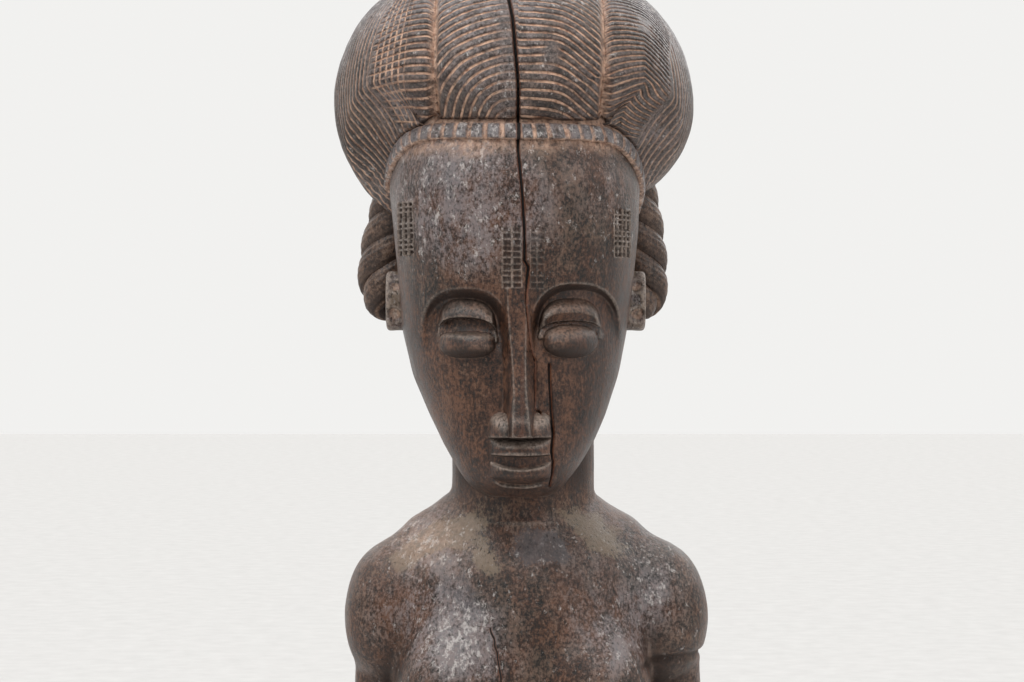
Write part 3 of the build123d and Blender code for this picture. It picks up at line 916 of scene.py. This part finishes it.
def make_nape():
    """The low cap of combed hair on the back of the head, between the plaits."""
    turn = np.linspace(96.0, 264.0, int(420 / COARSE))[:, None]
    t = np.linspace(0.0, 1.0, int(90 / COARSE))
    low = 488.0 + 17.0 * np.abs((turn - 180.0) / 84.0) ** 2
    z = low * (1 - t) + 552.0 * t
    x, y = head_shape.point(turn, z)
    mx, my, _, _ = head_shape.shape(z)
    out = unit(np.stack([x - mx, y - my, 0 * z - 6.0], 2))
    base = np.stack([x, y, z], 2)
    wander = waves(base, 10)
    comb = turn * 0.72 / 2.5 + 0.2 * wander
    thick = 2.6 * np.clip(t / 0.22, 0.0, 1.0) ** 0.5 * smooth(96, 108, turn) * smooth(264, 252, turn)
    lift = thick - 0.55 * cut_of(comb) + 0.2 * wander
    p = np.concatenate([base + out * lift[..., None], (base - 2.0 * out)[:, ::-1]], 1)
    rows, columns = z.shape
    quads = [ring_grid(rows, 2 * columns)]
    for row, way in ((0, -1), (rows - 1, 1)):
        a = row * 2 * columns + np.arange(columns - 1)
        b = row * 2 * columns + 2 * columns - 1 - np.arange(columns - 1)
        quads.append(np.stack([a, a + 1, b - 1, b], 1)[:, ::way])
    # Painted shade, darker towards the top under the rolls.
    marks = {
        "hollow": 0.35 * smooth(0.5, 1.0, t),
        "edge": 0.1,
        "dust": 0.15,
        "comb": comb,
        "comb_here": smooth(102, 108, turn) * smooth(258, 252, turn),
        "bloom": 0.6,
    }
    marks = {name: np.hstack([value, value[:, ::-1]]) for name, value in spread(marks, z.shape).items()}
    build("nape_combing", p, np.concatenate(quads), NO_TRIS, marks, hair_wood, ["nape_hair"], "hair_wood")


def make_plait(name, node, side, lean):
    """A thick three-strand twist behind the ear; lean is how far out it hangs along its length."""
    length, lay = 49.0, 33.6  # from top to tail, and for one whole turn of the twist
    steps, around = int(200 / COARSE), int(56 / COARSE)
    t = np.linspace(0.0, 1.0, steps)
    middle = np.stack([side * route(lean, t), 21.0 + 1.5 * np.sin(3 * t), 545.0 - length * t], 1)
    ring = np.linspace(0, 2 * math.pi, around, endpoint=False)
    c, s = np.cos(ring)[:, None], np.sin(ring)[:, None]
    taper = np.sqrt(np.clip(1.0 - (np.clip(t - 0.84, 0, 1) / 0.165) ** 2, 0.02, 1.0))[:, None, None]
    strands = []
    for strand in range(3):
        twist = side * (2 * math.pi * (length / lay * t + strand / 3.0) + 1.0)
        off = np.stack([np.cos(twist), np.sin(twist), 0 * t], 1)
        centre = middle + 4.8 * off * (1.15, 1.0, 1.0)
        tangent = unit(np.gradient(centre, axis=0))
        outward = unit(off - tangent * np.sum(off * tangent, 1, keepdims=True))
        sideways = np.cross(tangent, outward)
        lower = np.sign(sideways[0, 2])
        fibres = 8 * ring / math.pi + 0.15 * waves(np.repeat(centre, around, 0), 6).reshape(steps, around)
        cut = 0.22 * cut_of(fibres, 0.30)[..., None]
        outward, sideways = outward[:, None], sideways[:, None]
        p = centre[:, None] + taper * (outward * (4.3 - cut) * c + sideways * (5.5 - cut) * s)
        inner = smooth(0.7, -0.3, np.cos(ring))
        # Painted shade between the strands and on their undersides, and a painted highlight on their upper
        # outer sides.
        marks = {
            "hollow": np.clip(0.9 * inner + 0.55 * smooth(0.1, -0.7, np.sin(ring) * lower), 0.0, 1.0),
            "edge": 0.25 * (1 - inner) * smooth(0.0, 0.8, outward[..., 2] + 0.9 * np.cos(ring)),
            "dust": 0.35 * smooth(0.2, 0.6, inner) * smooth(1.0, 0.7, inner),
            "bloom": 0.3,
        }
        strands.append(tube(p, marks))
    size = len(strands[0][0])
    points, quads, fans, marks = zip(*strands)
    quads, fans = (np.concatenate([f + i * size for i, f in enumerate(faces)]) for faces in (quads, fans))
    marks = {mark: np.concatenate([m[mark] for m in marks]) for mark in marks[0]}
    build(name, np.vstack(points), quads, fans, marks, plait_wood, [node], "hair_wood")


# ---- trunk, arms and hands ----
trunk_shape = Sections(
    [
        (232.0, -34.0, 37.5, -26.0, 30.0),
        (250.0, -33.0, 36.0, -25.5, 29.0),
        (285.0, -32.0, 36.0, -31.0, 29.0),
        (325.0, -36.0, 40.0, -28.0, 29.0),
        (350.0, -41.0, 44.0, -29.5, 31.0),
        (368.0, -43.8, 44.8, -31.0, 33.0),
        (382.0, -44.4, 46.4, -31.5, 34.0),
        (392.0, -45.0, 48.0, -31.5, 34.0),
        (410.0, -44.0, 47.0, -27.0, 33.0),
        (422.0, -33.0, 36.0, -21.0, 30.0),
        (434.0, -20.0, 22.0, -12.0, 24.0),
    ],
    blur=4.0,
)


def trunk_field(x, y, z):
    """Chest, breasts, belly, arms, hands and neck as one solid."""
    body = np.maximum(trunk_shape.distance(x, y, z), z - 434.0)
    for side, middle, lift in ((-1, -44.4, 2.2), (1, 49.4, 1.9)):
        slope = [
            (side * 21.0 + 1.0, 5.0, 419.8 + lift, 12.2),
            (side * 31.0 + 1.5, 5.0, 412.8 + lift, 12.4),
            (side * 41.0 + 2.0, 4.0, 402.4, 13.6),
        ]
        body = join(body, limb(x, y, z, slope), 7.0)
        muscle = ellipsoid(x, y, z, (middle, 3.0, 391.0), (16.6, 19.0, 24.6))
        body = join(body, muscle, 2.5 + 7.5 * smooth(383.0, 400.0, z))
    for side in (-1, 1):
        place = (TRUNK_X + side * 25.5, -22.0, 364.0)
        mound = ellipsoid(x, y, z, place, (17.0, 15.5, 22.0), side * 16.0, 10.0)
        body = join(body, mound, 13.0)
        ax = 3.0 + side * 51.3
        arm = limb(x, y, z, [(ax, 6.0, 380.0, 9.0), (ax + side, 8.0, 340.0, 9.3), (ax, 11.0, 301.0, 9.0)])
        wrist = [(TRUNK_X + side * 44, -17.0, 292.0, 8.4), (TRUNK_X + side * 31, -31.5, 289.0, 6.8)]
        fore = limb(x, y, z, [(ax, 11.0, 300.0, 9.0), *wrist])
        palm = ellipsoid(x, y, z, (TRUNK_X + side * 20.0, -32.6, 287.5), (15.0, 5.6, 10.0), side * 22.0)
        thumb = ellipsoid(x, y, z, (TRUNK_X + side * 22.0, -33.5, 298.5), (8.5, 3.6, 3.2), side * 22.0)
        arm = join(join(arm, fore, 2.5), join(palm, thumb, 1.2), 2.5)
        body = join(body, arm, 1.8)
    flare = np.exp(-np.clip(z - 425.0, 0, 99) / 2.5)
    throat = np.hypot(x - NECK_X, y - NECK_Y) - NECK_R - flare
    body = join(body, np.maximum(throat, z - 472.0), 1.6)
    navel = ellipsoid(x, y, z, (TRUNK_X, -31.2, 275.0), (4.6, 4.8, 5.0))
    return join(body, navel, 1.5)


# Worn (positive) and slate (negative) patches, as (x, z, half width, half height, slope, strength).
CHEST_PATCHES = (
    (-28.0, 418.5, 17.0, 6.5, 0.45, 1.15),
    (25.0, 421.5, 12.0, 7.0, -0.35, 1.05),
    (-10.5, 413.0, 6.5, 8.0, 0.10, 0.8),
    (8.5, 417.0, 11.5, 6.5, 0.0, -1.1),
    (-28.0, 412.0, 6.0, 3.5, 0.2, -0.9),
    (-20.0, 402.0, 9.0, 7.0, 0.0, -0.6),
)
# Where the grey patina is thick, in the same terms: a painted sheen on the two breasts, painted light on
# the right shoulder, and thicker patina on the upper chest.
CHEST_PATINA_AND_SHEEN = (
    (-20.0, 388.0, 15.0, 18.0, 0.0, 0.62),
    (32.0, 384.0, 12.0, 14.0, 0.0, 0.25),
    (14.0, 415.0, 18.0, 10.0, 0.0, 0.15),
    (46.0, 406.0, 13.0, 14.0, 0.0, 0.35),
)


def spots(x, z, table):
    return sum(
        strength * bell(x, mx, wide) * bell(z, mz + slope * (x - mx), tall)
        for mx, mz, wide, tall, slope, strength in table
    )


def make_trunk():
    """Chest, neck, arms, hands and belly, down to the wrapper."""
    cell = 0.92 * COARSE
    xs, ys = np.arange(-66.0, 71.0, cell), np.arange(-44.0, 42.0, cell)
    p, quads, out, rough = carve(trunk_field, xs, ys, np.arange(238.0, 476.5, cell))
    x, y, z = p.T
    off = np.abs(x - TRUNK_X)

    fingers = (np.abs(off - 16.0) < 10.5) & (y < -30.0) & (z > 277.0) & (z < 297.5)
    gap = 1.0 - smooth(0.08, 0.24, line_of((z - 277.6 + 0.25 * off) / 4.6))
    spine = bell(x, TRUNK_X, 3.2) * (y > 15) * smooth(250.0, 275.0, z) * smooth(418.0, 400.0, z)
    crease = bell(z, 377.5 + 0.1 * (x - 50.0), 1.3) * smooth(40.0, 45.0, x) * smooth(12.0, 6.0, y)
    lift = 0.16 * chips(p, (7, 7, 12)) + 0.07 * chips(p, (2.2, 2.2, 5.0)) - 2.2 * spine - 1.3 * crease
    lift = lift - 0.9 * gap * fingers * smooth(26.0, 21.0, off)

    # Painted shade in the hollows, in the arm's crease, on downward faces and under the chin, where the
    # grey patina is also kept thin.
    chin_shadow = smooth(426.0, 446.0, z) * (y < 0) * smooth(-26.0, -20.0, -np.abs(x - NECK_X))
    hollow = 0.6 * hollowness(trunk_field, p, out, 12.0) + 0.4 * hollowness(trunk_field, p, out, 4.0)
    hollow = hollow + 0.5 * crease + 0.3 * smooth(0.10, 0.75, -out[:, 2]) + 0.8 * chin_shadow
    rubbed = bell(x, -33.0, 15.0) * bell(z, 419.0, 9.0) * (y < 10)
    crack = x + 9.2 - (391.0 - z) * 0.14 + 1.2 * waves(p, 5) + 0.4 * chips(p, 2)
    marks = {
        "patch": spots(x, z, CHEST_PATCHES) * (y < 12.0),
        "hollow": np.clip(hollow, 0.0, 1.0),
        "edge": np.clip(rough / 0.25, 0.0, 1.0),
        "dust": smooth(0.10, 0.30, -rough) * 0.15 + 0.35 * rubbed,
        "crack": np.where((y < -10) & (z < 391.0) & (z > 330.0), crack * 2.3, FAR),
        "bloom": 0.50 + spots(x, z, CHEST_PATINA_AND_SHEEN) + 0.5 * rubbed - 0.5 * chin_shadow,
    }
    p = p + out * lift[:, None]
    nodes = ["torso", "neck", "navel"]
    for part in ("shoulder", "upper_arm", "forearm", "hand", "breast"):
        nodes += [f"{part}_right", f"{part}_left"]
    build("trunk_skin", *cap_open(p, quads, marks, (TRUNK_X, 4.0, 340.0)), skin_wood, nodes)


# ---- wrapper, legs and base ----
wrapper_shape = Sections(
    [
        (160.0, -49.0, 49.0, -31.0, 36.0),
        (166.0, -49.6, 49.6, -31.0, 36.5),
        (190.0, -50.0, 51.0, -33.0, 42.0),
        (214.0, -46.5, 48.5, -30.0, 41.5),
        (232.0, -39.0, 42.0, -27.5, 34.5),
        (246.0, -34.6, 38.0, -26.0, 30.5),
    ],
    blur=4.0,
    power=2.15,
)


def make_wrapper():
    """The carved cloth, with a rolled waist, an overlapping edge at the front and an incised hem."""
    top, hem = 246.0, 166.3
    down = np.append(0.0, np.linspace(0.02, 1.0, int(300 / COARSE)))[:, None]
    turn = np.linspace(0.0, 360.0, int(600 / COARSE), endpoint=False)
    z = top - (top - hem) * down + 0 * turn
    x, y = wrapper_shape.point(turn, z)
    mx, my, _, _ = wrapper_shape.shape(z)
    out = unit(np.stack([x - mx, y - my, 0 * z], 2))
    base = np.stack([x, y, z], 2)
    wander = waves(base, 14)
    roll = 1.5 * bell(z, 241.5, 3.4)
    bands = sum(1.0 - smooth(0.35, 1.0, np.abs(z - level)) for level in (236.0, 178.5, 170.0))
    zigzag = np.abs(z - 174.2 - 3.0 * (4 * line_of(turn / 9.0) - 1.0))
    bands = bands + (1.0 - smooth(0.3, 0.9, zigzag)) * (z < 178.5)
    over = (turn - 338.0 - 0.12 * (200.0 - z)) * 0.8
    lap = 1.3 * smooth(-0.7, 0.7, over) * smooth(30.0, 4.0, over) * (z < 238.0)
    folds = 0.5 * np.sin(np.radians(turn) * 11 + 2.0 * wander) * smooth(236.0, 200.0, z)
    lift = roll - 0.55 * bands + lap + folds + 0.25 * wander - 0.6
    p = base + out * lift[..., None]
    axis = np.array([1.0, 4.0, 0.0])
    top_row = p[0] + (axis - p[0]) * (0.10, 0.10, 0) - (0, 0, 1.5)
    hem_row = p[-1] + (axis - p[-1]) * (0.12, 0.12, 0)
    p = np.concatenate([top_row[None], p, hem_row[None]])
    # Painted shade in the incised bands and the sunken places.
    marks = {
        "hollow": 0.35 * smooth(0.2, 1.0, bands) + 0.3 * smooth(0.0, -0.9, lift),
        "edge": 0.5 * smooth(0.6, 1.6, lift) + 0.6 * smooth(169.0, 166.6, z),
        "dust": 0.85 * np.clip(bands, 0, 1),
        "bloom": 0.35 + 0.3 * wander,
    }
    marks = {name: np.concatenate([value[:1], value, value[-1:]]) for name, value in marks.items()}
    centres = [(2.0, 3.0, p[0, :, 2].mean()), (0.0, 3.0, hem + 4.0)]
    build("hip_cloth", *tube(p, marks, True, centres), cloth_wood, ["hip_wrapper"])


def leg_field(side):
    cx = side * LEG_X
    bones = [
        (cx - side * 2, 4.0, 196.0, 21.0),
        (cx, -1.5, 150.0, 18.5),
        (cx, -5.5, 128.0, 16.0),
        (cx + side * 0.5, 4.0, 106.0, 17.0),
        (cx + side, 8.0, 90.0, 17.8),
        (cx, 8.0, 64.0, 12.6),
        (cx, 7.0, 44.0, 11.0),
    ]

    def field(x, y, z):
        knee = ellipsoid(x, y, z, (cx, -13.5, 130.0), (11.0, 9.0, 10.0))
        calf = ellipsoid(x, y, z, (cx + side, 13.5, 93.0), (15.0, 15.0, 20.0))
        leg = join(join(limb(x, y, z, bones), knee, 5.0), calf, 8.0)
        heel = ellipsoid(x, y, z, (cx, 10.0, 35.0), (12.0, 14.0, 9.5))
        instep = ellipsoid(x, y, z, (cx, -8.0, 33.0), (12.6, 27.0, 8.6), 0.0, 7.0)
        return np.maximum(join(leg, join(heel, instep, 5.0), 5.0), 27.0 - z)

    return field


def make_leg(name, side, side_name):
    """A flexed leg and its foot, from inside the wrapper down to the base."""
    field, cx, cell = leg_field(side), side * LEG_X, 1.0 * COARSE
    xs, ys = np.arange(cx - 24.0, cx + 24.5, cell), np.arange(-40.0, 33.0, cell)
    p, quads, out, rough = carve(field, xs, ys, np.arange(25.5, 186.0, cell))
    x, y, z = p.T
    toes = (1.0 - smooth(0.08, 0.26, line_of((x - cx) / 5.0 + 0.5))) * ((y < -22.0) & (z < 40.0))
    lift = 0.18 * chips(p, (7, 7, 12)) + 0.08 * chips(p, (2.2, 2.2, 5.0)) - 1.2 * toes
    p = p + out * lift[:, None]
    # Painted shade in the hollows and under the wrapper's hem.
    marks = {
        "hollow": np.clip(hollowness(field, p, out, 8.0) + 0.5 * smooth(158.0, 168.0, z), 0, 1),
        "edge": np.clip(rough / 0.18, 0.0, 1.0),
        "dust": np.clip(smooth(0.05, 0.25, -rough) * 0.5 + 0.6 * smooth(31.0, 28.0, z), 0, 1),
        "bloom": 0.4 + 0.3 * smooth(100.0, 130.0, z),
    }
    nodes = [f"{part}_{side_name}" for part in ("thigh", "calf", "foot")]
    build(name, *cap_open(p, quads, marks, (cx, 4.0, 160.0)), skin_wood, nodes)


def make_base():
    """The round base, with a softened rim, knife facets round its side and small chips."""
    outline = [
        (0.0, 28.0), (30.0, 28.0), (56.0, 27.8), (60.0, 26.6), (62.0, 24.0),
        (62.2, 14.0), (62.0, 3.0), (61.0, 0.8), (58.0, 0.0), (0.0, 0.0),
    ]
    radius, level = np.transpose(outline)
    steps = np.append(0.0, np.cumsum(np.hypot(np.diff(radius), np.diff(level))))
    at = np.linspace(0.0, steps[-1], int(190 / COARSE))[:, None]
    radius, level = np.interp(at, steps, radius), np.interp(at, steps, level)
    turn = np.radians(np.linspace(0, 360, int(420 / COARSE), endpoint=False))
    p = np.stack([radius * np.cos(turn), radius * np.sin(turn), level + 0 * turn], 2)
    side = smooth(40.0, 60.0, radius)
    facet = 0.8 * np.abs(np.sin(turn * 17 + 0.9 * np.sin(3 * turn))) - 0.8
    dent = 0.5 * waves(p, 13) + 0.25 * chips(p, 4) - 0.3
    out = np.stack([np.cos(turn), np.sin(turn), 0 * turn], 1)
    p = p + out * (side * (facet + dent) * (radius > 1))[..., None]
    p[..., 2] += 0.6 * dent * ((level > 26.0) & (radius > 1.0))
    p[-1, :, 2] = 0.0
    # Painted shade, darker towards the bottom of the base.
    marks = {
        "hollow": 0.25 * smooth(10.0, 0.0, level),
        "edge": 0.3 * smooth(-0.25, 0.0, facet) * side + 0.4 * smooth(57, 60, radius) * (level > 24),
        "dust": 0.35 * smooth(26.0, 28.0, level),
        "bloom": 0.35,
    }
    quads, marks = ring_grid(*p.shape[:2])[:, ::-1], spread(marks, p.shape[:2])
    build("round_base", p, quads, NO_TRIS, marks, base_wood, ["base"], "base_wood")


make_head()
make_ear("ear_block_right", -1, 46.4, "ear_right")
make_ear("ear_block_left", 1, 44.2, "ear_left")
make_middle_roll()
make_side_roll("hair_right", "hair_roll_right", -1, -20.3, 44.8, 571.7, 1.045, 1.06)
make_side_roll("hair_left", "hair_roll_left", 1, 14.9, 46.7, 570.0, 1.03, 0.83)
make_band()
make_nape()
lean = [(0, 40), (0.1, 41.8), (0.32, 44.8), (0.54, 47.4), (0.76, 48), (0.9, 45.5), (1, 41)]
make_plait("twist_right", "plait_right", -1, lean)
lean = [(0, 38), (0.2, 41), (0.54, 43.2), (0.76, 43.6), (0.9, 42.6), (1, 40)]
make_plait("twist_left", "plait_left", 1, lean)
make_trunk()
make_wrapper()
make_leg("leg_right", -1, "right")
make_leg("leg_left", 1, "left")
make_base()


# ---- floor, light and camera ----
def make_floor(half=14.0):
    mesh = bpy.data.meshes.new("floor")
    corners = [(-half, -half, 0), (half, -half, 0), (half, half, 0), (-half, half, 0)]
    mesh.from_pydata(corners, [], [(0, 1, 2, 3)])
    g = Graph(bpy.data.materials.new("pale_floor"))
    colours = [(0.3, linear(196, 195, 194)), (0.7, linear(205, 204, 203))]
    g.link("Base Color", g.ramp(g.noise(40, 4, 0.6), colours))
    g.shader.inputs["Roughness"].default_value = 0.8
    mesh.materials.append(g.owner)
    floor = bpy.data.objects.new("floor", mesh)
    bpy.context.scene.collection.objects.link(floor)


def area_light(name, place, target, size, power):
    light = bpy.data.lights.new(name, "AREA")
    light.shape, light.size, light.energy = "DISK", size, power
    holder = bpy.data.objects.new(name, light)
    holder.location = place
    holder.rotation_euler = (Vector(target) - Vector(place)).to_track_quat("-Z", "Y").to_euler()
    bpy.context.scene.collection.objects.link(holder)


def light_room():
    """A pale room, brighter behind the figure and overhead, and even where the camera sees it."""
    world = bpy.data.worlds.new("pale_room")
    g = Graph(world)
    way = g.add("ShaderNodeSeparateXYZ", {0: g.spot["Generated"]}).outputs
    level = g.fade(way["Y"], -0.7, 0.7, 0.42, 0.95, "LINEAR")
    strength = g.math("ADD", level, g.fade(way["Z"], 0.05, 0.9, 0.0, 1.1, "LINEAR"))
    seen = g.add("ShaderNodeLightPath", {}).outputs["Is Camera Ray"]
    g.link("Strength", g.add("ShaderNodeMix", {"Factor": seen, "A": strength, "B": 0.95}).outputs["Result"])
    g.shader.inputs["Color"].default_value = (0.93, 0.925, 0.91, 1.0)
    bpy.context.scene.world = world
    bpy.context.scene.view_settings.view_transform = "Standard"


make_floor()
area_light("key", (-0.7, -0.9, 1.9), (0, 0, 0.48), 0.6, 13.0)
area_light("fill", (1.3, -1.0, 1.3), (0, 0, 0.5), 1.0, 5.0)
area_light("rim", (0.9, 1.2, 1.3), (0, 0, 0.5), 0.9, 4.0)
light_room()

camera = bpy.data.cameras.new("camera")
camera.lens, camera.sensor_width = 100.7, 36.0
camera.clip_end = 20.0
holder = bpy.data.objects.new("camera", camera)
holder.location = (VIEW_X * 0.001, -1.0, EYE_LEVEL * 0.001)
holder.rotation_euler = (math.pi / 2, 0.0, 0.0)
bpy.context.scene.collection.objects.link(holder)
bpy.context.scene.camera = holder
